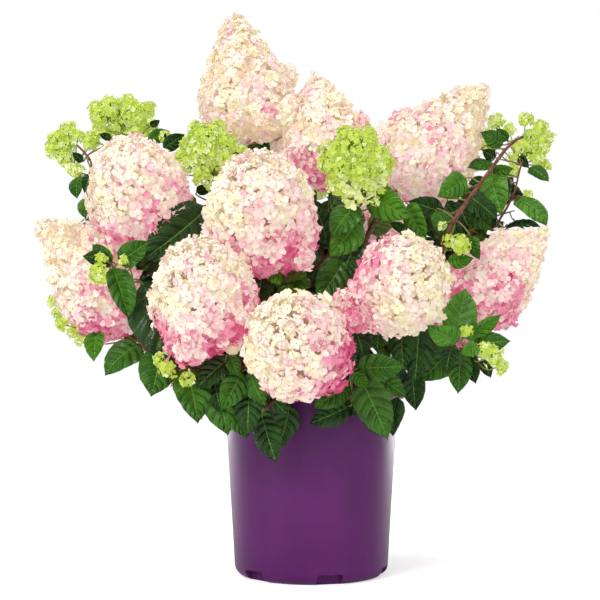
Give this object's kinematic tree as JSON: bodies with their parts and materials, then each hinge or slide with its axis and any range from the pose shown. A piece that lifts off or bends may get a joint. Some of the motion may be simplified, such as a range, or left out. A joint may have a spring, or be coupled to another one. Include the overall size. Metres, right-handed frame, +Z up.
{
  "type": "potted hydrangea shrub",
  "caption": "Panicle hydrangea shrub in full bloom in a purple nursery pot: cream to pink flower cones, lime young heads, dark green leaves",
  "frame": {"origin": "middle of the pot's flat underside, where it stands", "axes": "+Z up along the pot's axis, -Y towards the side that the picture shows, +X to the right seen from there"},
  "size_m": [0.7577, 0.6988, 0.838],
  "materials": {
    "pot": "blow-moulded polyethylene, purple, satin with fine turned marks",
    "mix": "loose composted bark chips, dark brown",
    "bark": "red-brown cane bark with pale breathing pores",
    "leaf": "dark green leaves with a soft sheen, on slim twigs",
    "cream_flower": "cream petals, matte",
    "pink_flower": "pink and cream petals, matte",
    "young_flower": "lime green young petals and buds, matte"
  },
  "bodies": {
    "root": {"bough_back": "bark", "bough_back_left": "bark", "bough_back_right": "bark", "bough_front": "bark", "bough_front_left": "bark", "bough_front_right": "bark", "bough_left": "bark", "bough_left_low": "bark", "bough_middle": "bark", "bough_right": "bark", "bough_right_high": "bark", "bough_top": "bark", "bough_top_right": "bark", "foliage_back": "leaf", "foliage_back_left": "leaf", "foliage_back_right": "leaf", "foliage_front": "leaf", "foliage_front_left": "leaf", "foliage_front_right": "leaf", "foliage_left": "leaf", "foliage_left_low": "leaf", "foliage_middle": "leaf", "foliage_right": "leaf", "foliage_right_high": "leaf", "foliage_top": "leaf", "foliage_top_right": "leaf", "panicle_back_left_high": "cream_flower", "panicle_back_left_low": "pink_flower", "panicle_back_low": "pink_flower", "panicle_back_right_high": "cream_flower", "panicle_back_right_low": "pink_flower", "panicle_far_left": "pink_flower", "panicle_far_right": "pink_flower", "panicle_front": "pink_flower", "panicle_front_left": "cream_flower", "panicle_front_right": "cream_flower", "panicle_left": "cream_flower", "panicle_middle": "pink_flower", "panicle_top": "cream_flower", "panicle_top_middle": "cream_flower", "panicle_top_right": "cream_flower", "pot": "pot", "potting_mix": "mix", "root_crown": "bark", "young_panicle_back": "young_flower", "young_panicle_far_left": "young_flower", "young_panicle_left_high": "young_flower", "young_panicle_middle": "young_flower", "young_panicle_middle_left": "young_flower", "young_panicle_right": "young_flower"}
  },
  "joints": []
}
